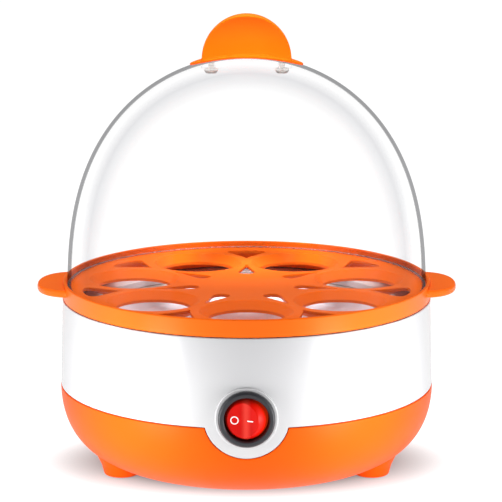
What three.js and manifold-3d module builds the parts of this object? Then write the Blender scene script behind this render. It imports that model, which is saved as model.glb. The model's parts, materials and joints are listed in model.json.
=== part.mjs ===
// A round egg steam cooker: an orange bowl and a white band make the base, which holds a heated
// dish and a lamp-lit rocker switch. An egg tray lifts out of the base, and a clear dome with a
// half-moon grip lifts off the tray. Millimetres, +Z up, front towards -Y, feet on Z = 0.
import * as THREE from "three";
import { mergeVertices } from "three/addons/utils/BufferGeometryUtils.js";
import Module from "manifold-3d";

const wasm = await Module();
wasm.setup();

// ---- Driving dimensions ----
const GAP = 0.3; // left between pieces that touch
const ROUND = 35; // sides of every large ring, a multiple of the seven egg seats
const SMALL = 8; // sides of screws and other small rounds
const WALL = 2.2; // moulded walls of the base

const BODY_R = 80.4; // bowl radius at its mouth
const SPLIT_Z = 36.8; // seam between bowl and band
const BOWL_BOTTOM = 2.0; // clearance under the bowl
const BOWL_FLAT_R = 40; // flat middle of the bowl's bottom
const BAND_TOP = 74.2;
const BAND_TOP_R = 79.2;

const FOOT = { x: 53.5, y: 22, r: 7.4, topR: 10, top: 9.5 };
const PAD = { r: 5.4, height: 1.9, rise: 0.6 };
const VENT = { count: 8, r: 25, length: 14, width: 2.6 };

// Screws that join bowl and band: each stands in a foot, under its rubber pad.
const JOINT = { wellR: 3.3, wellTop: 12, bossR: 5.6, bossTop: 20, postR: 4, postTop: 56, ribT: 2.4 };

const LEDGE = { r: 66, low: 67, high: 70.2 }; // ring inside the band that the dish hangs under
const DISH = { r: 75.5, flange: 65.2, floor: 60.5, floorR: 54, t: 1 };
const PLATE_SCREW_R = 73; // circle of the three screws in the dish's flange
const STUD = { r: 2, end: 44 };

const SWITCH_Z = 41.3; // centre of the round switch, on the front
const TAB_R = 17.5; // round tab of the band that carries the switch
const SEAT_Y = -80.9; // flat that the switch's bezel rests on
const SEAT_PAD_R = 12.8; // flat round pad of the band behind the bezel
const BEZEL = { r: 11.6, mouth: 9.15, body: 9.95, face: -83.4, back: -66.5, pocket: -69.5 };
const ROCKER = { r: 8.8, y: -78.5, crease: 5, back: 2.5, rise: 8.7, tilt: 15, pin: 1.1 }; // degrees

const TRAY = { r: 78.9, wall: 74.5, rim: 81.9, rimIn: 77.5, top: 79, under: 77.4 };
const SPIGOT = { r: 76.6, in: 74.6 }; // ring under the tray that centres it in the band
const SEATS = 7;
const SEAT = { ring: 50, r: 19.5, hole: 16, drop: 3, t: 1.6 };
const OUTER_SLOT = { tip: 54, end: 71, half: 11 };
const INNER_SLOT = { tip: 40, end: 21, half: 4.6 };
const EAR = { centre: 73, reach: 17, half: 20, low: 77.2, high: 80.4 };

const DOME = { r: 77.1, base: 70.7, rise: 106.8, powR: 1.98, powZ: 2.67, foot: 79.3, t: 1.5 };
const STEAM_HOLE = { r: 2.5, y: 24 };
const GRIP = { r: 19, z: 176.4, thick: 9.6, waist: 4.8, hollowR: 21, footX: 24, footY: 7, footT: 1.3 };
const LID_SCREW = { x: 15, seat: 172.4, bossR: 4.2 };

const ELEMENT = { ring: 38, r: 4, gap: 40 }; // gap in degrees, at the rear
const GLAND = { z: 23.5, bore: 3.25, r: 5.4, flange: 7.4, seat: 80.6, inner: 71, out: 85.9, padR: 8.8 };
const CLAMP = { x: 9, y: 60, height: 5, postR: 3.4 };

// ---- Colours ----
const paint = (color, roughness, metalness = 0) =>
  new THREE.MeshStandardMaterial({ color, roughness, metalness });
const ORANGE = paint(0xff6b05, 0.3);
const TRAY_ORANGE = paint(0xfc8536, 0.35);
const WHITE = paint(0xf4f4f2, 0.25);
const CLEAR = new THREE.MeshStandardMaterial({
  color: 0xf4f8fa,
  roughness: 0.05,
  transparent: true,
  opacity: 0.25,
});
const CHARCOAL = paint(0x26262a, 0.4);
const RED = paint(0xd41008, 0.15);
const LAMP = paint(0xffa040, 0.2);
const STEEL = paint(0xc2c4c8, 0.3, 1);
const DARK_STEEL = paint(0x7c7e84, 0.45, 1);
const BRASS = paint(0xc9a44c, 0.35, 1);
const RUBBER = paint(0x2b2b2b, 0.9);
const SILICONE = paint(0xd9d4cc, 0.7);
const NYLON = paint(0xecece6, 0.5);
const WIRE_BROWN = paint(0x6a3c20, 0.6);
const WIRE_BLUE = paint(0x2a55a8, 0.6);

// ---- Solids: three.js shapes as manifold-3d bodies, and back ----
function solid(geometry) {
  const plain = geometry.clone();
  plain.deleteAttribute("normal");
  plain.deleteAttribute("uv");
  const merged = mergeVertices(plain, 1e-4);
  return new wasm.Manifold(
    new wasm.Mesh({
      numProp: 3,
      vertProperties: merged.attributes.position.array,
      triVerts: new Uint32Array(merged.index.array),
    }),
  );
}

function geometryOf(body) {
  const mesh = body.getMesh();
  return new THREE.BufferGeometry()
    .setAttribute("position", new THREE.BufferAttribute(mesh.vertProperties, 3))
    .setIndex(new THREE.BufferAttribute(mesh.triVerts, 1))
    .toNonIndexed();
}

const join = (first, ...rest) => rest.reduce((sum, next) => sum.add(next), first);
const cut = (first, ...rest) => rest.reduce((sum, next) => sum.subtract(next), first);

// A body of revolution about +Z. The [r, z] outline runs anticlockwise, r to the right.
function turned(outline, sides = ROUND) {
  const points = outline.map(([r, z]) => new THREE.Vector2(r, z));
  return solid(new THREE.LatheGeometry(points, sides).rotateX(Math.PI / 2));
}

// The same, closed on itself instead of on the axis.
const turnedRing = (outline, sides) => turned([...outline, outline[0]], sides);

// A body of revolution about a line along -Y through (x, z): the outline's height is how far
// the point lies in front of y = 0.
function turnedForward(outline, x, z, sides = 24) {
  const points = outline.map(([r, h]) => new THREE.Vector2(r, h));
  return solid(new THREE.LatheGeometry(points, sides).rotateX(Math.PI).translate(x, 0, z));
}

const rod = (r, low, high, x = 0, y = 0, sides = SMALL) =>
  turned([[0, low], [r, low], [r, high], [0, high]], sides).translate([x, y, 0]);

const forwardRod = (r, back, front, x, z, sides = 24) =>
  turnedForward([[0, -back], [r, -back], [r, -front], [0, -front]], x, z, sides);

const block = (w, d, h, x, y, z) => solid(new THREE.BoxGeometry(w, d, h).translate(x, y, z));

// A flat outline in X and Y, raised from low to high.
function raised(outline, low, high) {
  const shape = new THREE.Shape(outline.map(([x, y]) => new THREE.Vector2(x, y)));
  const flat = new THREE.ExtrudeGeometry(shape, { depth: high - low, bevelEnabled: false });
  return solid(flat.translate(0, 0, low));
}

// Points of a closed or open curve given by a function of 0 to 1.
const sampled = (count, at) => Array.from({ length: count + 1 }, (_, i) => at(i / count));

const around = (count, start = 0) =>
  Array.from({ length: count }, (_, i) => start + (i * 2 * Math.PI) / count);

// ---- The bowl's and the dome's own curves ----
const bowlCurve = new THREE.CubicBezierCurve(
  new THREE.Vector2(BODY_R, SPLIT_Z),
  new THREE.Vector2(BODY_R, 10.6),
  new THREE.Vector2(62, BOWL_BOTTOM),
  new THREE.Vector2(BOWL_FLAT_R, BOWL_BOTTOM),
);

// The bowl's wall from the flat bottom up to its mouth, moved in by inset.
function bowlWall(inset, steps = 6) {
  return sampled(steps, (t) => {
    const p = bowlCurve.getPoint(1 - t);
    const along = bowlCurve.getTangent(1 - t);
    return [p.x + along.y * inset, p.y - along.x * inset];
  });
}

// The dome's outside from its foot to its top, moved out by offset.
function domeLine(offset, foot, steps = 9) {
  const r = DOME.r + offset;
  const rise = DOME.rise + offset;
  const start = Math.asin(((foot - DOME.base) / rise) ** (DOME.powZ / 2));
  return sampled(steps, (s) => {
    const t = start + (Math.PI / 2 - start) * s;
    return [r * Math.cos(t) ** (2 / DOME.powR), DOME.base + rise * Math.sin(t) ** (2 / DOME.powZ)];
  }).map(([radius, z], i, all) => (i === all.length - 1 ? [0, z] : [radius, z]));
}

const domeFilled = (offset) => turned([[0, 90], ...domeLine(offset, 90)]);

// ---- Base: bowl, band and what they hold ----
const FEET = [[-1, -1], [1, -1], [-1, 1], [1, 1]].map(([i, j]) => [i * FOOT.x, j * FOOT.y]);
const CLAMP_SIDES = [-CLAMP.x, CLAMP.x];
const PLATE_SCREW_AT = around(3, Math.PI / 2).map((a) => [
  PLATE_SCREW_R * Math.cos(a),
  PLATE_SCREW_R * Math.sin(a),
]);
const tabDisc = (r) => forwardRod(r, -60, -95, 0, SWITCH_Z, 32);

function foot([x, y]) {
  const edge = 1.2;
  const outline = [
    [0, PAD.rise],
    [FOOT.r - edge, PAD.rise],
    [FOOT.r - 0.3 * edge, PAD.rise + 0.4 * edge],
    [FOOT.r, PAD.rise + edge],
    [FOOT.topR, FOOT.top],
    [0, FOOT.top],
  ];
  return turned(outline, 14).translate([x, y, 0]);
}

function baseShell() {
  const outside = bowlWall(0);
  const inside = bowlWall(WALL).reverse();
  const floor = BOWL_BOTTOM + WALL;
  const lip = SPLIT_Z - GAP / 2;
  outside[outside.length - 1][1] = lip;
  inside[0][1] = lip;
  const bowl = turned([[0, BOWL_BOTTOM], ...outside, ...inside, [0, floor]]);
  const skinDepth = 0.6; // how far inner posts stay behind the bowl's outside
  const within = turned([[0, BOWL_BOTTOM + skinDepth], ...bowlWall(skinDepth), [0, SPLIT_Z]]);
  const bosses = FEET.map(([x, y]) => rod(JOINT.bossR, floor, JOINT.bossTop, x, y));
  const wells = FEET.flatMap(([x, y]) => [
    rod(JOINT.wellR, 0, JOINT.wellTop, x, y),
    rod(1.8, JOINT.wellTop - 1, JOINT.bossTop + 1, x, y),
  ]);
  const clampPosts = CLAMP_SIDES.map((x) => rod(CLAMP.postR, floor, GLAND.z - GAP, x, CLAMP.y));
  const ridge = GLAND.z - 2 - floor;
  const saddle = block(2 * CLAMP.x, 3, ridge, 0, CLAMP.y, floor + ridge / 2);
  const insides = join(...bosses, ...clampPosts, saddle).intersect(within);
  const cord = forwardRod(GLAND.bore, 70, 50, 0, GLAND.z, 16);
  const glandPad = forwardRod(GLAND.padR, GLAND.seat, GLAND.inner, 0, GLAND.z, 24);
  const pilots = CLAMP_SIDES.map((x) => rod(1.6, 10, GLAND.z, x, CLAMP.y));
  const recesses = FEET.map(([x, y]) => rod(PAD.r + GAP, 0, PAD.height + GAP, x, y, 16));
  const vents = around(VENT.count, Math.PI / VENT.count).map((a) =>
    block(VENT.length, VENT.width, 6, VENT.r, 0, BOWL_BOTTOM + 1)
      .rotate([0, 0, THREE.MathUtils.radToDeg(a)]),
  );
  const glandHole = forwardRod(GLAND.r + GAP, 90, 70, 0, GLAND.z, 20);
  return cut(
    join(bowl, insides, ...FEET.map(foot), glandPad),
    cord,
    ...wells,
    ...pilots,
    ...recesses,
    ...vents,
    glandHole,
    tabDisc(TAB_R + GAP),
  );
}

function bodyBand() {
  const edge = SPLIT_Z + GAP / 2;
  const spigot = { r: 77.3, low: 33, t: 2 };
  const wallIn = BAND_TOP_R - WALL;
  const skin = turnedRing([
    [spigot.r - spigot.t, spigot.low],
    [spigot.r, spigot.low],
    [spigot.r, edge],
    [BODY_R - 0.2, edge],
    [BAND_TOP_R, BAND_TOP],
    [wallIn, BAND_TOP],
    [wallIn, LEDGE.high],
    [LEDGE.r, LEDGE.high],
    [LEDGE.r, LEDGE.low],
    [wallIn + 0.4, LEDGE.low],
    [wallIn + 0.8, edge + 4],
    [spigot.r - spigot.t, edge + 1],
  ]);
  const wall = turnedRing([...bowlWall(0), ...bowlWall(3).reverse()]);
  const tab = wall.intersect(tabDisc(TAB_R));
  const pad = forwardRod(SEAT_PAD_R, -75, SEAT_Y, 0, SWITCH_Z, 28);
  const posts = FEET.map(([x, y]) => rod(JOINT.postR, JOINT.bossTop + GAP, JOINT.postTop, x, y));
  const ribs = FEET.map(([x, y]) => {
    const inner = Math.hypot(x, y);
    const length = wallIn + 0.6 - inner;
    return block(length, JOINT.ribT, JOINT.postTop - edge, inner + length / 2, 0, (JOINT.postTop + edge) / 2)
      .rotate([0, 0, THREE.MathUtils.radToDeg(Math.atan2(y, x))]);
  });
  const pilots = FEET.map(([x, y]) => rod(1.8, JOINT.bossTop, JOINT.bossTop + 14, x, y));
  const screwHoles = PLATE_SCREW_AT.map(([x, y]) => rod(1.7, LEDGE.low - 1, LEDGE.high - 0.8, x, y));
  const switchHole = forwardRod(BEZEL.body + 0.35, -60, -95, 0, SWITCH_Z, 24);
  const body = join(skin, tab, pad, ...posts, ...ribs);
  return cut(body, ...pilots, ...screwHoles, switchHole);
}

function heatingPlate() {
  const { r, flange, floor, floorR, t } = DISH;
  const dish = turned([
    [0, floor - t],
    [floorR + 0.4, floor - t],
    [floorR + 5, flange - t],
    [r, flange - t],
    [r, flange],
    [floorR + 4.6, flange],
    [floorR, floor],
    [0, floor],
  ]);
  const holes = PLATE_SCREW_AT.map(([x, y]) => rod(1.8, flange - 3, flange + 1, x, y));
  return cut(join(dish, rod(STUD.r, STUD.end, floor - t / 2)), ...holes);
}

const plateSeal = () =>
  turnedRing([
    [LEDGE.r + 0.6, DISH.flange + GAP],
    [LEDGE.r + 4, DISH.flange + GAP],
    [LEDGE.r + 4, LEDGE.low - GAP],
    [LEDGE.r + 0.6, LEDGE.low - GAP],
  ]);

// A pan-head screw pointing up, its head from z down.
function screwUp(x, y, z, headR, headH, shankR, length) {
  const outline = [
    [0, z - headH],
    [headR * 0.75, z - headH],
    [headR, z - headH * 0.5],
    [headR, z],
    [shankR, z],
    [shankR, z + length - 1],
    [shankR * 0.4, z + length],
    [0, z + length],
  ];
  const slot = block(headR * 1.2, 0.9, 1.2, x, y, z - headH);
  return cut(turned(outline, SMALL).translate([x, y, 0]), slot);
}

// The C-shaped heater: an arc with thin terminal pins on its ends.
function heatingElement(centreZ) {
  const half = THREE.MathUtils.degToRad(ELEMENT.gap / 2);
  const arc = new THREE.CatmullRomCurve3(
    sampled(28, (t) => {
      const a = Math.PI / 2 + half + t * (2 * Math.PI - 2 * half);
      return new THREE.Vector3(
        ELEMENT.ring * Math.cos(a),
        ELEMENT.ring * Math.sin(a),
        centreZ,
      );
    }),
  );
  const section = new THREE.Shape(
    around(8).map((a) => new THREE.Vector2(ELEMENT.r * Math.cos(a), ELEMENT.r * Math.sin(a))),
  );
  const tube = solid(new THREE.ExtrudeGeometry(section, { steps: 28, extrudePath: arc }));
  const pins = [-1, 1].map((side) => {
    const reach = solid(
      new THREE.CylinderGeometry(1.2, 1.2, 12, 8).rotateZ(Math.PI / 2).translate(2, 0, 0),
    );
    const angle = side > 0 ? 90 - ELEMENT.gap / 2 : 90 + ELEMENT.gap / 2;
    const a = THREE.MathUtils.degToRad(angle);
    return reach
      .rotate([0, 0, angle + 90 * side])
      .translate([ELEMENT.ring * Math.cos(a), ELEMENT.ring * Math.sin(a), centreZ]);
  });
  return join(tube, ...pins);
}

const UNDER_DISH = DISH.floor - DISH.t - GAP;
const ELEMENT_Z = UNDER_DISH - ELEMENT.r;
const BRACKET = { top: ELEMENT_Z - ELEMENT.r - GAP, t: 1.2, half: 46, width: 14 };

function elementBracket() {
  const { top, t, half, width } = BRACKET;
  const bar = block(2 * half, width, t, 0, 0, top - t / 2);
  const cross = block(width, 2 * half, t, 0, 0, top - t / 2);
  return cut(join(bar, cross), rod(STUD.r + GAP, top - 3, top + 1));
}

function bracketNut() {
  const top = BRACKET.top - BRACKET.t - GAP;
  return cut(rod(4, top - 3.2, top, 0, 0, 6), rod(STUD.r + GAP, top - 4, top + 1));
}

const THERMOSTAT = { y: -17, r: 7.4, bodyR: 6, height: 5.6 };

function thermostat() {
  const { y, r, bodyR, height } = THERMOSTAT;
  const top = UNDER_DISH;
  const low = top - height;
  const step = low + 3;
  const cup = turned([[0, low], [bodyR, low], [bodyR, step], [r, step], [r, top], [0, top]], 24);
  const blades = [-1, 1].map((side) => block(6, 4, 0.8, side * 8, 0, low + 1.4));
  return join(cup, ...blades).translate([0, y, 0]);
}

function thermostatClip() {
  const top = UNDER_DISH - THERMOSTAT.height - GAP;
  const strip = block(9, 28, 0.8, 0, -9, top - 0.4);
  return cut(strip, rod(STUD.r + GAP, top - 3, top + 1));
}

const FUSE = { y: 18, r: 2 };

function thermalFuse() {
  const z = UNDER_DISH - 1.4 - FUSE.r;
  const body = new THREE.CylinderGeometry(FUSE.r, FUSE.r, 15, 12).rotateZ(Math.PI / 2);
  const leads = new THREE.CylinderGeometry(0.6, 0.6, 30, 8).rotateZ(Math.PI / 2);
  return join(solid(body), solid(leads)).translate([0, FUSE.y, z]);
}

// A strip bent round the fuse and spot-welded up against the dish.
function fuseClip() {
  const z = UNDER_DISH - 1.4 - FUSE.r;
  const inner = FUSE.r + GAP;
  const outer = inner + 0.8;
  const bow = sampled(8, (t) => [outer * Math.cos(Math.PI * (t + 1)), outer * Math.sin(Math.PI * (t + 1))]);
  const hollow = sampled(8, (t) => [inner * Math.cos(Math.PI * t), -inner * Math.sin(Math.PI * t)]);
  const rise = UNDER_DISH - z;
  const outline = [
    ...bow,
    [outer, rise - 0.8],
    [outer + 5, rise - 0.8],
    [outer + 5, rise],
    [inner, rise],
    ...hollow,
    [-inner, rise],
    [-outer - 5, rise],
    [-outer - 5, rise - 0.8],
    [-outer, rise - 0.8],
  ];
  return raised(outline, -3, 3).rotate([90, 0, 90]).translate([0, FUSE.y, z]);
}

// ---- Switch ----
function switchHousing() {
  const { r, mouth, body, face, back, pocket } = BEZEL;
  const seat = SEAT_Y - GAP;
  const cup = turnedForward(
    [
      [0, -back],
      [body, -back],
      [body, -seat],
      [r, -seat],
      [r, -face - 1],
      [r - 0.9, -face],
      [mouth, -face],
      [mouth, -pocket],
      [0, -pocket],
    ],
    0,
    SWITCH_Z,
    24,
  );
  const slots = TERMINAL_X.map((x) => block(1.4, 6, 5.4, x, back - 2, SWITCH_Z - 2));
  const pinHole = rod(ROCKER.pin + GAP, SWITCH_Z - 11, SWITCH_Z + 11, 0, ROCKER.y);
  const wallOnly = pinHole.intersect(block(10, 10, 19.4, 0, ROCKER.y, SWITCH_Z));
  return cut(cup, ...slots, wallOnly);
}

const TERMINAL_X = [-5, 0, 5];
const terminal = (x) => block(0.8, 12, 4.8, x, BEZEL.back + 2, SWITCH_Z - 2);

// A ball cut by two faces that meet in an upright crease. At rest its left side is pressed in.
function switchRocker() {
  const { r, y, crease, back, rise, tilt, pin } = ROCKER;
  const edge = -crease - r * Math.tan(THREE.MathUtils.degToRad(rise));
  const outline = [[-r, back], [-r, edge], [0, -crease], [r, edge], [r, back]];
  const ball = solid(new THREE.SphereGeometry(r, 16, 12).rotateX(Math.PI / 2));
  const paddle = ball.intersect(raised(outline, -r, r)).rotate([0, 0, -tilt]);
  return join(paddle, rod(pin, -9.55, 9.55)).translate([0, y, SWITCH_Z]);
}

function switchLamp() {
  const r = 1.5;
  const half = 5.5;
  const end = sampled(4, (t) => [
    r * Math.sin((t * Math.PI) / 2),
    r - half - r * Math.cos((t * Math.PI) / 2),
  ]);
  const top = end.map(([x, h]) => [x, -h]).reverse();
  return turned([...end, ...top], 12).rotate([0, 90, 0]).translate([0, -71.6, SWITCH_Z + 4.5]);
}

// ---- Rear cord entry ----
function cordGland() {
  const { z, bore, r, flange, seat, inner, out } = GLAND;
  const outline = [
    [bore, -out],
    [bore + 1.6, -out],
    [r - 0.2, -seat - 2.4],
    [flange, -seat - 1.8],
    [flange, -seat - GAP],
    [r, -seat - GAP],
    [r, -inner + GAP],
    [r + 1, -inner + GAP],
    [r + 1, -inner + 1.8],
    [bore, -inner + 1.8],
  ];
  return turnedForward([...outline, outline[0]], 0, z, 20);
}

function cordClamp() {
  const strip = block(2 * CLAMP.x + 8, 8, CLAMP.height, 0, CLAMP.y, GLAND.z + CLAMP.height / 2);
  const groove = forwardRod(GLAND.bore, 75, 50, 0, GLAND.z, 20);
  const holes = CLAMP_SIDES.map((x) => rod(1.7, GLAND.z - 1, GLAND.z + CLAMP.height + 1, x, CLAMP.y));
  return cut(strip, groove, ...holes);
}

const clampScrew = (x) =>
  screwUp(0, 0, 0, 3, 2, 1.3, 13)
    .rotate([180, 0, 0])
    .translate([x, CLAMP.y, GLAND.z + CLAMP.height + GAP]);

// A wire of 2 mm, smooth through its points.
function lead(points) {
  const path = new THREE.CatmullRomCurve3(points.map((p) => new THREE.Vector3(...p)));
  const section = new THREE.Shape(around(8).map((a) => new THREE.Vector2(Math.cos(a), Math.sin(a))));
  return solid(new THREE.ExtrudeGeometry(section, { steps: 12, extrudePath: path }));
}

// ---- Egg tray ----
const seatAngles = around(SEATS, -Math.PI / 2);
const slotAngles = around(SEATS, -Math.PI / 2 + Math.PI / SEATS);

// A teardrop along the X axis from its tip to its round end.
function teardrop({ tip, end, half }) {
  const width = (u) => half * 1.12 * u ** 1.15 * Math.sqrt(1 - u ** 7);
  const side = sampled(7, (t) => Math.sin((t * Math.PI) / 2)).map((u) => [
    tip + (end - tip) * u,
    u < 1 ? Math.max(width(u), 0.6) : 0,
  ]);
  const back = side.slice(0, -1).map(([x, y]) => [x, -y]);
  return tip < end ? [...back, ...side.reverse()] : [...side, ...back.reverse()];
}

function eggTray() {
  const { r, wall, rim, rimIn, top, under } = TRAY;
  const plate = turned([
    [0, under],
    [SPIGOT.in, under],
    [SPIGOT.in, LEDGE.high + 0.4],
    [SPIGOT.r, LEDGE.high + 0.4],
    [SPIGOT.r, wall],
    [r, wall],
    [r, rim - 0.7],
    [r - 0.35, rim],
    [rimIn + 0.3, rim],
    [rimIn, rim - 0.4],
    [rimIn, top],
    [0, top],
  ]);
  const drop = top - SEAT.drop;
  const cone = (out, low, high) =>
    turned([[0, low], [SEAT.hole + out, low], [SEAT.r + out, high], [0, high]], 16);
  const at = (body, a) => body.translate([SEAT.ring * Math.cos(a), SEAT.ring * Math.sin(a), 0]);
  const cups = seatAngles.map((a) => at(cone(SEAT.t, drop - SEAT.t, under + 0.1), a));
  const mouths = seatAngles.map((a) =>
    at(join(cone(0, drop, top).add(rod(SEAT.hole, 60, top, 0, 0, 16)), rod(SEAT.r, top, rim, 0, 0, 16)), a),
  );
  const slots = slotAngles.flatMap((a) =>
    [OUTER_SLOT, INNER_SLOT].map((slot) =>
      raised(teardrop(slot), 60, 90).rotate([0, 0, THREE.MathUtils.radToDeg(a)]),
    ),
  );
  const ears = [1, -1].map(ear);
  const earsOnly = cut(join(...ears), rod(rimIn + 0.6, 60, 90, 0, 0, ROUND));
  return cut(join(plate, ...cups, earsOnly), ...mouths, ...slots);
}

// A D-shaped lifting ear with a rib under its root.
function ear(side) {
  const outline = sampled(14, (t) => {
    const a = -Math.PI / 2 + t * Math.PI;
    return [
      EAR.centre + EAR.reach * Math.cos(a) ** 0.8,
      EAR.half * Math.sign(Math.sin(a)) * Math.abs(Math.sin(a)) ** 0.9,
    ];
  });
  const leaf = raised(outline, EAR.low, EAR.high);
  const rib = raised([[78.2, 75], [78.6, 74.8], [84, EAR.low + 0.2], [78.2, EAR.low + 0.2]], -1.2, 1.2);
  const both = join(leaf, rib.rotate([90, 0, 0]));
  return side > 0 ? both : both.rotate([0, 0, 180]);
}

// ---- Lid ----
const LID_SCREW_SIDES = [-LID_SCREW.x, LID_SCREW.x];
const DOME_TOP = DOME.base + DOME.rise;

// The dome, with a flat seat inside for each screw of the grip.
function lidDome() {
  const outside = domeLine(0, DOME.foot);
  const inside = domeLine(-DOME.t, DOME.foot).reverse();
  const shell = turned([...outside, ...inside, outside[0]]);
  const seats = LID_SCREW_SIDES.map((x) => rod(LID_SCREW.bossR, LID_SCREW.seat, DOME_TOP, x, 0, 16));
  const seated = join(...seats).intersect(domeFilled(-DOME.t / 2));
  const holes = LID_SCREW_SIDES.map((x) => rod(1.8, LID_SCREW.seat - 1, DOME_TOP + 1, x, 0));
  const steam = rod(STEAM_HOLE.r, LID_SCREW.seat - 10, DOME_TOP, 0, STEAM_HOLE.y);
  return cut(join(shell, seated), ...holes, steam);
}

// A half-moon with hollowed faces on a thin oval foot that follows the dome.
function lidHandle() {
  const { r, z, thick, waist, hollowR, footX, footY, footT } = GRIP;
  const low = DOME_TOP - 10;
  const arc = sampled(14, (t) => [r * Math.cos(t * Math.PI), z + r * Math.sin(t * Math.PI)]);
  const moon = raised([[-r, low], [r, low], ...arc], -thick / 2, thick / 2).rotate([90, 0, 0]);
  const hollows = [-1, 1].map((side) =>
    solid(
      new THREE.CylinderGeometry(hollowR, hollowR, 3 * r, 48)
        .rotateZ(Math.PI / 2)
        .translate(0, side * (waist / 2 + hollowR), z + r / 2),
    ),
  );
  const oval = around(24).map((a) => [footX * Math.cos(a), footY * Math.sin(a)]);
  const foot = raised(oval, low, z + r).intersect(domeFilled(footT));
  const pilots = LID_SCREW_SIDES.map((x) => rod(1.7, low, z + r / 2, x, 0));
  return cut(join(cut(moon, ...hollows), foot), domeFilled(GAP), ...pilots);
}

// ---- Assembly ----
const group = new THREE.Group();
const put = (name, body, material) => {
  const mesh = new THREE.Mesh(geometryOf(body), material);
  mesh.name = name;
  group.add(mesh);
};

put("base_shell", baseShell(), ORANGE);
put("body_band", bodyBand(), WHITE);
FEET.forEach(([x, y], i) =>
  put(`foot_pad_${i + 1}`, rod(PAD.r, 0, PAD.height, x, y, 16), RUBBER),
);
FEET.forEach(([x, y], i) =>
  put(`base_screw_${i + 1}`, screwUp(x, y, JOINT.wellTop - GAP, 2.9, 2.2, 1.4, 20), STEEL),
);

put("heating_plate", heatingPlate(), STEEL);
put("plate_seal", plateSeal(), SILICONE);
PLATE_SCREW_AT.forEach(([x, y], i) =>
  put(`plate_screw_${i + 1}`, screwUp(x, y, DISH.flange - DISH.t - GAP, 2, 1.6, 1.3, 5), STEEL),
);
put("heating_element", heatingElement(ELEMENT_Z), DARK_STEEL);
put("element_bracket", elementBracket(), STEEL);
put("bracket_nut", bracketNut(), BRASS);
put("thermostat", thermostat(), CHARCOAL);
put("thermostat_clip", thermostatClip(), STEEL);
put("thermal_fuse", thermalFuse(), SILICONE);
put("fuse_clip", fuseClip(), STEEL);

put("switch_housing", switchHousing(), CHARCOAL);
put("switch_rocker", switchRocker(), RED);
put("switch_lamp", switchLamp(), LAMP);
TERMINAL_X.forEach((x, i) => put(`switch_terminal_${i + 1}`, terminal(x), BRASS));

put("cord_gland", cordGland(), RUBBER);
put("cord_clamp", cordClamp(), CHARCOAL);
CLAMP_SIDES.forEach((x, i) => put(`clamp_screw_${i + 1}`, clampScrew(x), STEEL));
const bladeTip = [0, BEZEL.back + 9.5, SWITCH_Z - 2];
const from = ([x, y, z], dx) => [x + dx, y, z];
put(
  "lead_line",
  lead([[-1.6, 54, GLAND.z], [-6, 44, 14], [-12, 10, 12], [-8, -30, 14], [0, -50, 26], bladeTip]),
  WIRE_BROWN,
);
put(
  "lead_switched",
  lead([from(bladeTip, -5), [-9, -46, 36], [-16, -30, 42], [-14, THERMOSTAT.y, 53]]),
  WIRE_BROWN,
);
put(
  "lead_neutral",
  lead([[1.6, 54, GLAND.z], [9, 52, 25], [16, 50, 36], [14, 46, 50], [6.5, 41.6, ELEMENT_Z]]),
  WIRE_BLUE,
);
put(
  "lead_lamp",
  lead([from(bladeTip, 5), [10, -44, 30], [18, 0, 16], [14, 36, 14], [1.6, 54, GLAND.z - 3.4]]),
  WIRE_BLUE,
);

put("egg_tray", eggTray(), TRAY_ORANGE);

put("lid_dome", lidDome(), CLEAR);
put("lid_handle", lidHandle(), ORANGE);
LID_SCREW_SIDES.forEach((x, i) =>
  put(`lid_screw_${i + 1}`, screwUp(x, 0, LID_SCREW.seat - GAP, 3, 1.6, 1.3, 10), NYLON),
);

export default group;
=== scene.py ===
"""Looks of a round egg steam cooker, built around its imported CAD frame."""

import json
import math

import bmesh
import bpy
import numpy as np
from mathutils import Euler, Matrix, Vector


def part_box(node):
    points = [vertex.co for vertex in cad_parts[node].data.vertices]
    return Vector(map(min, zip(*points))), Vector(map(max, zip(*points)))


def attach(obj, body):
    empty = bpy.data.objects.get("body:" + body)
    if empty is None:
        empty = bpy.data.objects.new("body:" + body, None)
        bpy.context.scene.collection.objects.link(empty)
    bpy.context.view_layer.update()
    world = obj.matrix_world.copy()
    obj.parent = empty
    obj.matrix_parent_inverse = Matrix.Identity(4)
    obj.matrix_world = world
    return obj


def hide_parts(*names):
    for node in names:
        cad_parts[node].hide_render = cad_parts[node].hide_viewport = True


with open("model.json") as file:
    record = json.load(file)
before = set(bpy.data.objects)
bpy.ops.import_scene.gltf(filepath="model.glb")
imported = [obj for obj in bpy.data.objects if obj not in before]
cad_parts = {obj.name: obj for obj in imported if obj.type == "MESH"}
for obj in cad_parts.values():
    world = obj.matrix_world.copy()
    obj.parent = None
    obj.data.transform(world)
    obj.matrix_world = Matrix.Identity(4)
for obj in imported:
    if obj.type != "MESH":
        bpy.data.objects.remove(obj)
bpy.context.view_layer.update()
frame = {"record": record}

MM = 0.001
FULL_TURN = 2 * math.pi


def node_box(name):
    """A node's lowest and highest corners in millimetres."""
    low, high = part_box(name)
    return np.array(low) / MM, np.array(high) / MM


# ---- Dimensions in millimetres, from the frame where a node's box holds them ----
BOWL_HIGH = node_box("base_shell")[1]
BAND_HIGH = node_box("body_band")[1]
TRAY_LOW, TRAY_HIGH = node_box("egg_tray")
DOME_LOW, DOME_HIGH = node_box("lid_dome")
GRIP_HIGH = node_box("lid_handle")[1]
BEZEL_LOW, BEZEL_HIGH = node_box("switch_housing")
PLATE_LOW, PLATE_HIGH = node_box("heating_plate")
GLAND_LOW, GLAND_HIGH = node_box("cord_gland")
PAD_BOXES = [node_box(f"foot_pad_{i}") for i in range(1, 5)]
GLAND_Z = (GLAND_LOW[2] + GLAND_HIGH[2]) / 2

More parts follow.
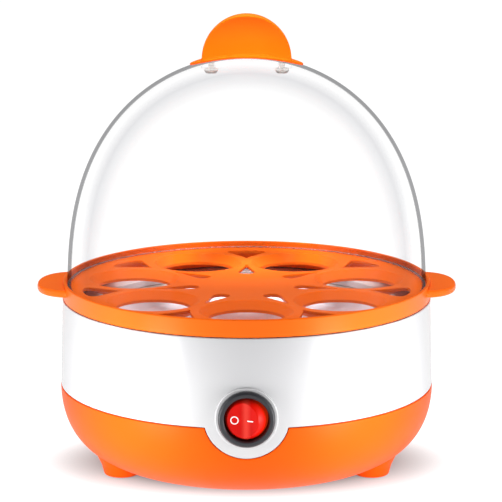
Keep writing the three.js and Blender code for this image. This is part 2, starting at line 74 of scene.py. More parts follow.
WALL = 2.2
SEAM_HALF = 0.15
SEAM_Z = BOWL_HIGH[2] + SEAM_HALF  # middle of the seam between bowl and band
BOWL_R = 80.4
BOWL_BOTTOM = 2.0
BOWL_LIP = 0.45
BOWL_CURVE = [(BOWL_R, SEAM_Z), (BOWL_R, 10.6), (62.0, BOWL_BOTTOM), (40.0, BOWL_BOTTOM)]
CURVE_STEPS = np.linspace(0, 1, 400)

FOOT_R = 7.4
FOOT_WAIST = (8.6, 5.2)  # radius and height where the foot starts to flare
FOOT_ROOT = (10.6, 9.5)
PAD_OUT = 0.6  # how far a pad stands out under its foot
RECESS_R = 5.7
WELL_R = 3.3
WELL_TOP = 12.0
BOSS_R = 5.6
BOSS_TOP = 20.0
BOSS_INSET = 0.6  # how far the bosses stay inside the bowl's skin
SCREW_WAY_R = 1.8
VENTS = 8
VENT_R = 25
VENT_SIZE = (14, 2.6, 1.28)  # length, width and corner
GLAND_PAD_R = 8.8
GLAND_WAY_R = 5.7
GLAND_SEAT = 80.6  # depth of the pad's flat face behind the middle
THROUGH_WALL = (60, 95)  # from inside to outside the housing, for cutters

BAND_TOP = BAND_HIGH[2]
BAND_TOP_R = 79.2
BAND_LIP = 0.4
BAND_STEP = 0.1  # how far the band's skin lies inside the bowl's
LEDGE_R = 66
LEDGE_T = 3.2
POST_R = 4
POST_TOP = 56
RIB_T = 2.4
RIB_END = 78  # radius where a post's rib meets the band
FINE_UNDER = 14  # the band's rows lie close together from this far under the switch
FINE_TOP = 58  # up to this height

SWITCH_Z = (BEZEL_LOW[2] + BEZEL_HIGH[2]) / 2
TAB_R = 17.5
CUTOUT_R = 17.8
SEAT_Y = -80.9
SEAT_PAD_R = 12.8
SEAT_PAD_BACK = 78.3
SWITCH_WAY_R = 10.3
BEZEL_R = 11.6
BEZEL_MOUTH = 9.15
BEZEL_BODY = 9.95
ROCKER_PIVOT = (0.0, -78.5, SWITCH_Z)
ROCKER_R = 8.8
ROCKER_TILT = math.radians(15)
ROCKER_RISE = math.radians(8.7)
ROCKER_CREASE = 5.0
MARK_LOW, MARK_HIGH = -0.1, 0.06  # a mark's underside and top, from the rocker's face
MARK_RING = (1.25, 1.7)  # inner and outer radius
MARK_RING_X = -3.6
MARK_BAR = (2.6, 0.5, 0.2)  # length, width and corner
MARK_BAR_X = 3.0
MARK_EDGE = 0.05

TRAY_R = 78.9
RIM_IN = 77.5
RIM_Z = TRAY_HIGH[2]
FLOOR_Z = 79.0
FLOOR_UNDER = 77.4
TRAY_WALL_Z = 74.5
SPIGOT_R = 76.6
SPIGOT_IN = 74.6
EAR_ROOT = 73
EAR_HALF = 20
EAR_LOW = 77.2
EAR_HIGH = 80.4
SEATS = 7
SEAT_RING = 50.0
SEAT_R = 19.5
SEAT_HOLE = 16.0
SEAT_FOOT_Z = 75.6
SEAT_DROP = 3
SEAT_WALL = 1.6
SEAT_LIP = 1.44
OUTER_SLOT = (54, 71, 11)  # tip, round end and half width of a teardrop slot
INNER_SLOT = (40, 21, 4.6)

DOME_R = 77.1
DOME_BASE = 70.7
DOME_RISE = DOME_HIGH[2] - DOME_BASE
DOME_FOOT = DOME_LOW[2]
DOME_WALL = 1.5
DOME_RIM = 0.4  # height of the rounded rim
DOME_POWERS = (1.98, 2.67)
DOME_SIDES = 224
SOLID_FOOT = 90  # where a solid copy of the dome's top starts
THROUGH_TOP = (160, 190)  # from under to over the dome's top, for cutters
STEAM_HOLE_R = 2.5
STEAM_HOLE_Y = 24
LID_SCREWS = (-15, 15)
LID_SEAT = 172.4  # flat under the dome for the grip's screws
LID_SEAT_TOP = 178
LID_SEAT_R = 4.2
GRIP_R = 19.0
GRIP_THICK = 9.6
GRIP_WAIST = 4.8
GRIP_HOLLOW = 21.0
GRIP_DEEP = 168  # where the grip's slab starts, inside the dome
GRIP_PILOT_R = 1.7
GRIP_FOOT = (24, 7)  # half length and half width
GRIP_FOOT_T = 1.3
GRIP_GAP = 0.3  # between the grip's underside and the dome

PLATE_R = 75.4
DISH_DEEP = 4.7
STUD_R = 2

SCREW_SHANK = 1.35
THREAD_PITCH = 1.0
THREAD_DEPTH = 0.25


# ---- Mesh helpers ----
def add_object(name, data):
    piece = bpy.data.objects.new(name, data)
    bpy.context.scene.collection.objects.link(piece)
    return piece


def mesh_piece(name, points, faces):
    """A closed mesh from points in millimetres, its doubled points welded."""
    mesh = bpy.data.meshes.new(name)
    mesh.from_pydata((np.asarray(points, float) * MM).tolist(), [], faces)
    work = bmesh.new()
    work.from_mesh(mesh)
    bmesh.ops.remove_doubles(work, verts=work.verts, dist=2e-6)
    bmesh.ops.recalc_face_normals(work, faces=work.faces)
    work.to_mesh(mesh)
    work.free()
    return add_object(name, mesh)


def rounded(corners, closed=True, steps=5):
    """Corners (r, z, fillet) as a smooth outline, with an arc at each fillet."""
    points = []
    count = len(corners)
    for i, (r, z, fillet) in enumerate(corners):
        here = np.array((r, z), float)
        if not fillet or (not closed and i in (0, count - 1)):
            points.append(here)
            continue
        back = np.array(corners[i - 1][:2], float) - here
        onward = np.array(corners[(i + 1) % count][:2], float) - here
        back /= np.linalg.norm(back)
        onward /= np.linalg.norm(onward)
        half = math.acos(np.clip(back @ onward, -1, 1)) / 2
        middle = (back + onward) / np.linalg.norm(back + onward)
        centre = here + middle * fillet / math.sin(half)
        start = here + back * fillet / math.tan(half) - centre
        end = here + onward * fillet / math.tan(half) - centre
        first = math.atan2(start[1], start[0])
        turn = (math.atan2(end[1], end[0]) - first + math.pi) % FULL_TURN - math.pi
        for s in range(steps + 1):
            a = first + turn * s / steps
            points.append(centre + fillet * np.array((math.cos(a), math.sin(a))))
    return points


def revolve(name, outline_at, angles, closed=True):
    """Sweeps an outline of (r, z) points about Z. Angles count from the front, towards +X."""
    rings = [outline_at(a) for a in angles]
    size = len(rings[0])
    points = [
        (r * math.sin(a), -r * math.cos(a), z)
        for a, ring in zip(angles, rings)
        for r, z in ring
    ]
    faces = []
    for i in range(len(angles)):
        j = (i + 1) % len(angles)
        for k in range(size if closed else size - 1):
            m = (k + 1) % size
            faces.append((i * size + k, j * size + k, j * size + m, i * size + m))
    return mesh_piece(name, points, faces)


def turned(name, outline, sides=192, closed=True):
    angles = [FULL_TURN * i / sides for i in range(sides)]
    return revolve(name, lambda _: outline, angles, closed)


def placed(piece, x=0.0, y=0.0, z=0.0, turn=(0, 0, 0)):
    """Turns a piece about the origin by Euler angles, then moves it, in its mesh."""
    matrix = Euler(turn).to_matrix().to_4x4()
    matrix.translation = Vector((float(x), float(y), float(z))) * MM
    piece.data.transform(matrix)
    return piece


def facing_front(piece, y=0.0, z=0.0):
    """Turns a piece made along +Z so that it looks towards -Y."""
    return placed(piece, 0, y, z, (math.pi / 2, 0, 0))


def facing_back(piece, z=0.0):
    """Turns a piece made along +Z so that it looks towards +Y."""
    return placed(piece, z=z, turn=(-math.pi / 2, 0, 0))


def rod(name, r, low, high, x=0.0, y=0.0, sides=48, edge=0.0):
    corners = [(0, low, 0), (r, low, edge), (r, high, edge), (0, high, 0)]
    return placed(turned(name, rounded(corners, False), sides, False), x, y)


def slab(name, outline, low, high, edge=0.0, flare=0.0, steps=5):
    """A flat outline raised from low to high. edge rounds its rims. flare widens them
    instead, for a cutter that leaves a rounded lip."""
    outline = np.asarray(outline, float)
    along = np.roll(outline, -1, axis=0) - np.roll(outline, 1, axis=0)
    outward = np.stack([along[:, 1], -along[:, 0]], axis=1)
    outward /= np.linalg.norm(outward, axis=1)[:, None]
    r = edge or flare
    sign = 1 if flare else -1
    arc = [math.pi / 2 * s / steps for s in range(steps + 1)]
    shape = [(r * (1 - math.cos(a)), sign * r * (1 - math.sin(a))) for a in arc] if r else [(0, 0)]
    layers = [(low + rise, out) for rise, out in shape]
    layers += [(high - rise, out) for rise, out in reversed(shape)]
    if flare:
        layers = [(low - 3, r)] + layers + [(high + 3, r)]
    size = len(outline)
    points = [
        (*(point + out * normal), z)
        for z, out in layers
        for point, normal in zip(outline, outward)
    ]
    faces = [
        (i * size + k, i * size + (k + 1) % size, (i + 1) * size + (k + 1) % size, (i + 1) * size + k)
        for i in range(len(layers) - 1)
        for k in range(size)
    ]
    faces.append(tuple(reversed(range(size))))
    faces.append(tuple((len(layers) - 1) * size + k for k in range(size)))
    return mesh_piece(name, points, faces)


def oblong(width, depth, corner, steps=4):
    """Outline of a rectangle with round corners."""
    points = []
    for cx, cy, start in ((1, 1, 0), (-1, 1, 1), (-1, -1, 2), (1, -1, 3)):
        for s in range(steps + 1):
            a = math.pi / 2 * (start + s / steps)
            points.append(
                (
                    cx * (width / 2 - corner) + corner * math.cos(a),
                    cy * (depth / 2 - corner) + corner * math.sin(a),
                )
            )
    return points


def applied(piece):
    """Bakes a piece's modifiers into its mesh."""
    graph = bpy.context.evaluated_depsgraph_get()
    mesh = bpy.data.meshes.new_from_object(piece.evaluated_get(graph))
    old = piece.data
    piece.modifiers.clear()
    piece.data = mesh
    bpy.data.meshes.remove(old)
    return piece


def combined(piece, operation, *tools):
    """Joins the tools to a piece, or cuts them from it, and removes the tools."""
    for tool in tools:
        step = piece.modifiers.new("step", "BOOLEAN")
        step.operation = operation
        step.solver = "MANIFOLD"
        step.object = tool
    applied(piece)
    for tool in tools:
        bpy.data.objects.remove(tool, do_unlink=True)
    return piece


def copy_of(piece):
    return add_object(piece.name, piece.data.copy())


def joined(piece, *tools):
    return combined(piece, "UNION", *tools)


def cut(piece, *tools):
    return combined(piece, "DIFFERENCE", *tools)


def softened(piece, voxel, rounds):
    """Turns joined solids into one moulded surface with small fillets."""
    remesh = piece.modifiers.new("mould", "REMESH")
    remesh.mode = "VOXEL"
    remesh.voxel_size = voxel * MM
    smooth = piece.modifiers.new("relax", "SMOOTH")
    smooth.factor = 0.5
    smooth.iterations = rounds
    return applied(piece)


def finished(piece, body, material, nodes=(), sharp=35):
    """Smooth shading with sharp creases, then the piece's body, finish and CAD nodes."""
    piece.data.shade_smooth()
    piece.data.set_sharp_from_angle(angle=math.radians(sharp))
    weighted = piece.modifiers.new("normals", "WEIGHTED_NORMAL")
    weighted.keep_sharp = True
    if material is not None:
        piece.data.materials.clear()
        piece.data.materials.append(material)
    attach(piece, body)
    if nodes:
        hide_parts(*nodes)
    return piece


# ---- Material helpers ----
def linear(red, green, blue):
    """An sRGB colour of 0 to 255 as a linear RGBA."""
    def channel(v):
        v /= 255
        return v / 12.92 if v <= 0.04045 else ((v + 0.055) / 1.055) ** 2.4

    return (channel(red), channel(green), channel(blue), 1.0)


class Shader:
    """A node material with short calls for the nodes that these finishes share."""

    def __init__(self, name):
        self.material = bpy.data.materials.new(name)
        self.material.use_nodes = True
        self.tree = self.material.node_tree
        self.main = self.tree.nodes["Principled BSDF"]
        self.output = self.tree.nodes["Material Output"]
        self.place = self.node("ShaderNodeTexCoord").outputs["Object"]

    def node(self, kind, **inputs):
        made = self.tree.nodes.new(kind)
        for key, value in inputs.items():
            made.inputs[key.replace("_", " ")].default_value = value
        return made

    def link(self, source, target):
        self.tree.links.new(source, target)

    def noise(self, scale, detail=2.0, roughness=0.5, stretch=None):
        """Noise of 0 to 1. scale is in waves per metre, stretch scales each axis."""
        made = self.node("ShaderNodeTexNoise", Scale=scale, Detail=detail, Roughness=roughness)
        place = self.place
        if stretch:
            mapping = self.node("ShaderNodeMapping", Scale=stretch)
            self.link(place, mapping.inputs["Vector"])
            place = mapping.outputs["Vector"]
        self.link(place, made.inputs["Vector"])
        return made.outputs["Fac"]

    def ranged(self, value, low, high, start=0.0, end=1.0):
        made = self.node("ShaderNodeMapRange")
        made.inputs["From Min"].default_value = start
        made.inputs["From Max"].default_value = end
        made.inputs["To Min"].default_value = low
        made.inputs["To Max"].default_value = high
        self.link(value, made.inputs["Value"])
        return made.outputs["Result"]

    def product(self, first, second):
        made = self.node("ShaderNodeMath")
        made.operation = "MULTIPLY"
        self.link(first, made.inputs[0])
        self.link(second, made.inputs[1])
        return made.outputs["Value"]

    def mixed(self, factor, first, second):
        """A colour between first and second, each an RGBA or a socket."""
        made = self.node("ShaderNodeMix")
        made.data_type = "RGBA"
        self.link(factor, made.inputs["Factor"])
        for key, value in (("A", first), ("B", second)):
            socket = [s for s in made.inputs if s.name == key and s.type == "RGBA"][0]
            if isinstance(value, tuple):
                socket.default_value = value
            else:
                self.link(value, socket)
        return [s for s in made.outputs if s.type == "RGBA"][0]

    def bumped(self, height, strength, distance):
        made = self.node("ShaderNodeBump", Strength=strength, Distance=distance)
        self.link(height, made.inputs["Height"])
        self.link(made.outputs["Normal"], self.main.inputs["Normal"])

    def set(self, **inputs):
        for key, value in inputs.items():
            self.main.inputs[key.replace("_", " ")].default_value = value


def moulded_plastic(name, colour, shade, rough, peel=0.05, gloss=0.5, tint=(1, 1, 1, 1), index=1.49):
    """Moulded plastic: slow drift of colour, faint orange peel and uneven gloss."""
    s = Shader(name)
    drift = s.noise(22, 3)
    s.link(s.mixed(s.ranged(drift, 0, 1, 0.35, 0.65), colour, shade), s.main.inputs["Base Color"])
    handled = s.noise(60, 5, 0.6)
    s.link(s.ranged(handled, rough * 0.94, rough * 1.08, 0.3, 0.7), s.main.inputs["Roughness"])
    s.bumped(s.noise(1400, 2), peel, 0.0002)
    s.set(IOR=index, Specular_IOR_Level=gloss, Specular_Tint=tint)
    return s.material


def metal(name, colour, rough, grain=(1, 1, 1), scale=900.0, strength=0.12, purity=1.0, worn=0.78):
    """Metal with fine marks, drawn out along one axis where grain says so."""
    s = Shader(name)
    marks = s.noise(scale, 4, 0.6, grain)
    dark = tuple(c * worn for c in colour[:3]) + (1.0,)
    s.link(s.mixed(s.ranged(s.noise(40, 4), 0, 1, 0.3, 0.7), colour, dark), s.main.inputs["Base Color"])
    s.link(s.ranged(marks, rough * 0.7, rough * 1.4, 0.3, 0.7), s.main.inputs["Roughness"])
    s.bumped(marks, strength, 0.0001)
    s.set(Metallic=purity)
    return s.material


def rubber(name, colour, rough):
    """Matt rubber with a little dust and fine pores."""
    s = Shader(name)
    dusty = tuple(min(1.0, c * 1.6 + 0.01) for c in colour[:3]) + (1.0,)
    dust = s.ranged(s.noise(160, 5, 0.7), 0, 1, 0.45, 0.75)
    s.link(s.mixed(dust, colour, dusty), s.main.inputs["Base Color"])
    s.link(s.ranged(s.noise(500, 3), rough * 0.85, rough, 0.3, 0.7), s.main.inputs["Roughness"])
    s.bumped(s.noise(1800, 3), 0.25, 0.0002)
    return s.material


def clear_wall(name, edge, painted_reflection_grey):
    """One face of the dome: clear, greyer where it is seen edge-on, with a painted grey reflection
    band, a painted dark rim line and a thin gloss.
    """
    s = Shader(name)
    facing = s.node("ShaderNodeLayerWeight", Blend=0.5).outputs["Facing"]
    ramp = s.node("ShaderNodeValToRGB")
    s.link(facing, ramp.inputs["Fac"])
    # Clear face-on, a soft band of painted grey reflection, clear again, then the painted dark line of
    # the rim.
    stops = [(0.0, 1.0), (0.38, 1.0), (0.55, painted_reflection_grey), (0.68, 1.0), (0.78, 1.0), (0.81, edge), (1.0, edge)]
    elements = ramp.color_ramp.elements
    while len(elements) < len(stops):
        elements.new(0.5)
    for element, (at, grey) in zip(elements, stops):
        element.position = at
        element.color = (grey, grey, min(1.0, grey * 1.01), 1.0)
    through = s.node("ShaderNodeBsdfTransparent")
    s.link(ramp.outputs["Color"], through.inputs["Color"])
    gloss = s.node("ShaderNodeBsdfGlossy")
    smear = s.ranged(s.noise(45, 4), 0.02, 0.09, 0.3, 0.7)
    s.link(smear, gloss.inputs["Roughness"])
    # The gloss grows with the fifth power of the slant, as on real clear plastic.
    grazing = s.node("ShaderNodeMath")
    grazing.operation = "POWER"
    grazing.inputs[1].default_value = 5.0
    s.link(facing, grazing.inputs[0])
    mix = s.node("ShaderNodeMixShader")
    s.link(s.ranged(grazing.outputs["Value"], 0.008, 0.06), mix.inputs["Fac"])
    s.link(through.outputs["BSDF"], mix.inputs[1])
    s.link(gloss.outputs["BSDF"], mix.inputs[2])
    s.link(mix.outputs["Shader"], s.output.inputs["Surface"])
    s.tree.nodes.remove(s.main)
    return s.material


def frosted_edge():
    """The dome's moulded rim, which catches more light than its polished walls."""
    s = Shader("dome_edge")
    cloud = s.mixed(s.noise(120, 3), linear(186, 189, 196), linear(170, 173, 181))
    s.link(cloud, s.main.inputs["Base Color"])
    s.link(s.ranged(s.noise(500, 2), 0.2, 0.32), s.main.inputs["Roughness"])
    s.set(Transmission_Weight=0.8, IOR=1.2)
    return s.material


def natural_nylon():
    """Milky see-through plastic of the lid's screws."""
    s = Shader("white_nylon")
    cloud = s.mixed(s.noise(300, 3), linear(250, 250, 248), linear(240, 240, 236))
    s.link(cloud, s.main.inputs["Base Color"])
    s.link(s.ranged(s.noise(700, 2), 0.3, 0.42), s.main.inputs["Roughness"])
    s.bumped(s.noise(1400, 2), 0.05, 0.0002)
    s.set(Transmission_Weight=0.9, IOR=1.08)
    return s.material


def rocker_plastic():
    """Clear red plastic with a painted highlight along its crease and a painted glow on its right side,
    as if lit from behind.
    """
    s = Shader("red_plastic")
    s.set(Roughness=0.34, IOR=1.49, Specular_IOR_Level=0.12)
    deep = s.mixed(s.ranged(s.noise(90, 3), 0, 1, 0.3, 0.7), linear(210, 8, 3), linear(190, 6, 3))
    axes = s.node("ShaderNodeSeparateXYZ")
    s.link(s.place, axes.inputs["Vector"])
    # A painted highlight: the base colour pales in a band along the crease.
    crease = s.ranged(axes.outputs["X"], 0, 1, -0.0024, -0.0006)
    beyond = s.ranged(axes.outputs["X"], 1, 0, 0.0002, 0.0018)
    s.link(s.mixed(s.product(crease, beyond), deep, linear(216, 52, 40)), s.main.inputs["Base Color"])
    # A painted glow, stronger towards the right side, stands in for light from behind.
    s.set(Emission_Color=linear(255, 60, 8))
    s.link(s.ranged(axes.outputs["X"], 0.03, 0.35, 0.002, 0.009), s.main.inputs["Emission Strength"])
    s.bumped(s.noise(700, 2), 0.04, 0.0002)
    return s.material


def glowing_lamp():
    """Warm glass of the pilot lamp, lit from inside."""
    s = Shader("lamp_glass")
    s.set(Base_Color=linear(255, 150, 60), Roughness=0.2)
    s.set(Emission_Color=linear(255, 120, 30), Emission_Strength=3.0)
    s.bumped(s.noise(900, 2), 0.1, 0.0001)
    return s.material


# ---- Materials ----
WARM = (1.0, 0.82, 0.5, 1.0)  # tint of the gloss on the orange plastics


def orange(name, colour, shade, rough, peel, gloss, index):
    """One of the cooker's orange plastics, with a warm gloss."""
    return moulded_plastic(name, linear(*colour), linear(*shade), rough, peel, gloss, WARM, index)


ORANGE = orange("orange_plastic", (255, 87, 0), (253, 84, 0), 0.46, 0.04, 0.5, 1.28)
GRIP_ORANGE = orange("grip_plastic", (255, 89, 8), (252, 85, 6), 0.34, 0.04, 0.4, 1.25)
TRAY_ORANGE = orange("tray_plastic", (255, 112, 26), (252, 106, 22), 0.34, 0.05, 0.4, 1.3)
WHITE = moulded_plastic("white_plastic", linear(200, 200, 201), linear(197, 197, 199), 0.24, 0.03, 0.5)
BLACK = moulded_plastic("black_plastic", linear(46, 47, 52), linear(38, 38, 42), 0.36, 0.12)
MARK_WHITE = moulded_plastic("mark_white", linear(252, 246, 246), linear(246, 240, 240), 0.5)
RED = rocker_plastic()
LAMP = glowing_lamp()
NYLON = natural_nylon()
STEEL = metal("steel", linear(205, 207, 212), 0.28)
DARK_STEEL = metal("dark_steel", linear(120, 118, 116), 0.42, strength=0.25)
DISH_STEEL = metal("dish_steel", linear(232, 233, 242), 0.42, strength=0.06, purity=0.25, worn=0.93)
BRASS = metal("brass", linear(205, 170, 92), 0.30)
RUBBER = rubber("rubber", linear(40, 40, 41), 0.82)
SILICONE = rubber("silicone", linear(214, 209, 198), 0.5)
BROWN_WIRE = moulded_plastic("wire_brown", linear(104, 62, 36), linear(92, 52, 30), 0.5)
BLUE_WIRE = moulded_plastic("wire_blue", linear(38, 88, 170), linear(32, 76, 150), 0.5)
# The outside carries the painted reflection band and the painted dark rim line; the inside stays clear.
DOME_OUT = clear_wall("dome_outside", 0.58, 0.87)
DOME_IN = clear_wall("dome_inside", 1.0, 1.0)
DOME_EDGE = frosted_edge()


# ---- Bowl and band ----
def bezier(points, t):
    """Point at t of a cubic curve with four control points."""
    a, b, c, d = (np.array(p) for p in points)
    s = 1 - t
    return s**3 * a + 3 * s * s * t * b + 3 * s * t * t * c + t**3 * d


def bezier_slope(points, t):
    """Direction of the same curve at t."""
    a, b, c, d = (np.array(p) for p in points)
    s = 1 - t
    return 3 * s * s * (b - a) + 6 * s * t * (c - b) + 3 * t * t * (d - c)


BOWL_TABLE = np.array([bezier(BOWL_CURVE, t) for t in CURVE_STEPS])


def bowl_skin(top, inset=0.0, steps=40):
    """(r, z) along the bowl's wall from its flat bottom up to the height top."""
    stop = float(np.interp(-top, -BOWL_TABLE[:, 1], CURVE_STEPS))
    points = []
    for t in np.linspace(1, stop, steps):
        along = bezier_slope(BOWL_CURVE, t)
        along /= np.linalg.norm(along)
        points.append(bezier(BOWL_CURVE, t) + inset * np.array((along[1], -along[0])))
    return points


def round_edge(x, radius):
    """Height of the circle round the switch, on its lower side, at x from its centre."""
    return SWITCH_Z - math.sqrt(max(radius * radius - x * x, 0.0))


def front_angles(radius, edge_z, sides=180):
    """Angles for a ring that are close together at the front, where the round tab is."""
    corner = math.asin(math.sqrt(radius**2 - (SWITCH_Z - edge_z) ** 2) / BOWL_R)
    front = np.linspace(-corner, corner, 91)
    beside = corner + np.array([0.0025, 0.006, 0.012, 0.02])
    rest = np.linspace(corner + 0.03, FULL_TURN - corner - 0.03, sides)
    return list(front) + list(beside) + list(rest) + list(FULL_TURN - beside[::-1])


def lip_height(angle, radius, level):
    """Where the seam lies at an angle: level, or down along the circle round the switch."""
    x = BOWL_R * math.sin(angle)
    if math.cos(angle) < 0 or abs(x) >= radius:
        return level
    return min(level, round_edge(x, radius))


def bowl_outline(angle):
    """The bowl's section at an angle, with its rounded mouth lowered round the switch."""
    top = lip_height(angle, CUTOUT_R, BOWL_HIGH[2])
    lip = BOWL_LIP
    outer = bowl_skin(top - lip)
    inner = bowl_skin(top - lip, WALL)
    edge_r = (outer[-1][0] + inner[-1][0]) / 2
    half = (outer[-1][0] - inner[-1][0]) / 2
    over = [
        (edge_r + (half - lip) + lip * math.cos(a), top - lip + lip * math.sin(a))
        for a in np.linspace(0, math.pi / 2, 5)[1:]
    ]
    back = [
        (edge_r - (half - lip) - lip * math.sin(a), top - lip + lip * math.cos(a))
        for a in np.linspace(0, math.pi / 2, 5)[:-1]
    ]
    floor = BOWL_BOTTOM + WALL
    return [(0, BOWL_BOTTOM), *outer, *over, *back, *reversed(inner), (0, floor)]


def foot(x, y):
    """A tapered foot with a flare at its root."""
    low = PAD_BOXES[0][0][2] + PAD_OUT
    root_r, root_z = FOOT_ROOT
    corners = [(0, low, 0), (FOOT_R, low, 1.3), (*FOOT_WAIST, 5), (root_r, root_z, 0), (0, root_z, 0)]
    return placed(turned("foot", rounded(corners, False, 8), 64, False), x, y)


def joint_bosses(centres):
    """The bosses over the feet, kept inside the bowl's wall."""
    outline = [(0, BOWL_BOTTOM + BOSS_INSET), *bowl_skin(SEAM_Z, BOSS_INSET), (0, SEAM_Z)]
    inside = turned("inside", outline, 96, False)
    bosses = [rod("boss", BOSS_R, BOWL_BOTTOM + WALL, BOSS_TOP, x, y) for x, y, _ in centres]
    for boss in bosses:
        combined(boss, "INTERSECT", copy_of(inside))
    bpy.data.objects.remove(inside, do_unlink=True)
    return bosses


def vent_cutters():
    """Cutters for the ring of vents in the bowl's floor."""
    vents = []
    for i in range(VENTS):
        vent = slab("vent", oblong(*VENT_SIZE, 5), BOWL_BOTTOM, BOWL_BOTTOM + WALL, flare=0.4)
        placed(vent, VENT_R)
        vents.append(placed(vent, turn=(0, 0, math.pi / VENTS + i * FULL_TURN / VENTS)))
    return vents


def base_shell():
    """The orange bowl with its feet, screw wells, vents and the way for the cord."""
    bowl = revolve("bowl", bowl_outline, front_angles(CUTOUT_R, BOWL_HIGH[2]), False)
    centres = [(low + high) / 2 for low, high in PAD_BOXES]
    joined(bowl, *[foot(x, y) for x, y, _ in centres])
    joined(bowl, *joint_bosses(centres))
    wells = []
    for x, y, _ in centres:
        wells.append(rod("well", WELL_R, -5, WELL_TOP, x, y))
        wells.append(rod("screw_way", SCREW_WAY_R, WELL_TOP - 1, BOSS_TOP + 5, x, y))
    recesses = [rod("recess", RECESS_R, -2, 2.2, x, y) for x, y, _ in centres]
    pad = rod("gland_pad", GLAND_PAD_R, 71, GLAND_SEAT, sides=72, edge=0.5)
    joined(bowl, facing_back(pad, GLAND_Z))
    way = facing_back(rod("gland_way", GLAND_WAY_R, *THROUGH_WALL), GLAND_Z)
    cut(bowl, *wells, *recesses, *vent_cutters(), way)
    return finished(bowl, "base", ORANGE, ["base_shell"])


def band_skin(z):
    """Radius of the band's outside at a height: its own taper, or the bowl's curve below."""
    if z >= SEAM_Z:
        share = (z - SEAM_Z) / (BAND_TOP - SEAM_Z)
        return BOWL_R - BAND_STEP + share * (BAND_TOP_R - BOWL_R + BAND_STEP)
    return float(np.interp(z, BOWL_TABLE[::-1, 1], BOWL_TABLE[::-1, 0])) - BAND_STEP


def band_outline(angle):
    """The band's section at an angle, drawn down round the switch as its tab."""
    lip = BAND_LIP
    bottom = lip_height(angle, TAB_R, SEAM_Z + SEAM_HALF)
    fine_from = max(bottom + lip, SWITCH_Z - FINE_UNDER) + 0.01
    heights = np.concatenate(
        [
            np.linspace(bottom + lip, fine_from, 14)[:-1],
            np.linspace(fine_from, FINE_TOP, 40),
            np.linspace(FINE_TOP, BAND_TOP - lip, 8)[1:],
        ]
    )
    under = [
        (band_skin(bottom) - lip * (1 - math.sin(a)), bottom + lip * (1 - math.cos(a)))
        for a in np.linspace(0, math.pi / 2, 4)[:-1]
    ]
    outer = [(band_skin(z), z) for z in heights]
    over = [
        (BAND_TOP_R - lip * (1 - math.cos(a)), BAND_TOP - lip * (1 - math.sin(a)))
        for a in np.linspace(0, math.pi / 2, 4)[1:]
    ]
    inner = [(band_skin(BAND_TOP) - WALL, BAND_TOP), (band_skin(bottom) - WALL, bottom)]
    return [*under, *outer, *over, *inner]


def switch_seat():
    """A round pad on the band's front, with the flat face that the switch's bezel rests on."""
    pad = rod("seat", SEAT_PAD_R, SEAT_PAD_BACK, -SEAT_Y, sides=120, edge=0.45)
    return facing_front(pad, z=SWITCH_Z)


def inner_rings():
    """The ledge over the dish, and the tongue that laps inside the bowl's mouth."""
    low = PLATE_HIGH[2] + 1.8
    high = low + LEDGE_T
    ledge = [(LEDGE_R, low, 0.5), (77.9, low, 0), (77.9, high, 0), (LEDGE_R, high, 0.6)]
    tongue = [
        (75.3, 33, 0.5),
        (77.3, 33, 0.5),
        (77.3, 36.9, 0),
        (78.6, 38.6, 0),
        (78.4, 41, 0),
        (75.3, 38, 0),
    ]
    return [turned("ring", rounded(ring)) for ring in (ledge, tongue)]


def screw_post(index):
    """A post for a base screw, with a rib that ties it to the band."""
    low, high = node_box(f"base_screw_{index}")
    x, y, _ = (low + high) / 2
    post = rod("post", POST_R, BOSS_TOP + 0.3, POST_TOP, x, y, 40, 0.4)
    reach = math.hypot(x, y)
    length = RIB_END - reach
    rib = slab("rib", oblong(length, RIB_T, 0.4), SEAM_Z + 0.3, POST_TOP, edge=0.4)
    placed(rib, reach + length / 2)
    placed(rib, turn=(0, 0, math.atan2(y, x)))
    joined(post, rib)
    return cut(post, rod("pilot", SCREW_WAY_R, BOSS_TOP - 1, BOSS_TOP + 14, x, y))


def body_band():
    """The white upper shell with the switch's tab, its inner rings and its screw posts."""
    band = revolve("band", band_outline, front_angles(TAB_R, SEAM_Z + SEAM_HALF))
    joined(band, switch_seat())
    joined(band, *inner_rings())
    joined(band, *[screw_post(i) for i in range(1, 5)])
    hole = rod("switch_way", SWITCH_WAY_R, *THROUGH_WALL, sides=72)
    cut(band, facing_front(hole, z=SWITCH_Z))
    return finished(band, "base", WHITE, ["body_band"], sharp=32)


# ---- Egg tray ----
def teardrop(tip, end, half, count=30):
    """A teardrop along +X from its tip to its round end."""
    side = []
    for u in np.sin(np.linspace(0, math.pi / 2, count)):
        width = half * 1.12 * u**1.15 * math.sqrt(max(1 - u**7, 0))
        side.append((tip + (end - tip) * u, max(width, 0.5) if u < 1 else 0.0))
    mirrored = [(x, -y) for x, y in side[:-1]]
    points = mirrored + side[::-1]
    return points if tip < end else points[::-1]


def tray_body():
    """The tray's round plate with its rim above and its spigot below."""
    corners = [
        (0, FLOOR_UNDER, 0),
        (SPIGOT_IN, FLOOR_UNDER, 0.8),
        (SPIGOT_IN, TRAY_LOW[2], 0.5),
        (SPIGOT_R, TRAY_LOW[2], 0.5),
        (SPIGOT_R, TRAY_WALL_Z, 0),
        (TRAY_R, TRAY_WALL_Z, 0.35),
        (TRAY_R, RIM_Z, 0.6),
        (RIM_IN, RIM_Z, 0.5),
        (RIM_IN, FLOOR_Z, 0.7),
        (0, FLOOR_Z, 0),
    ]
    return turned("tray", rounded(corners, False), 224, False)


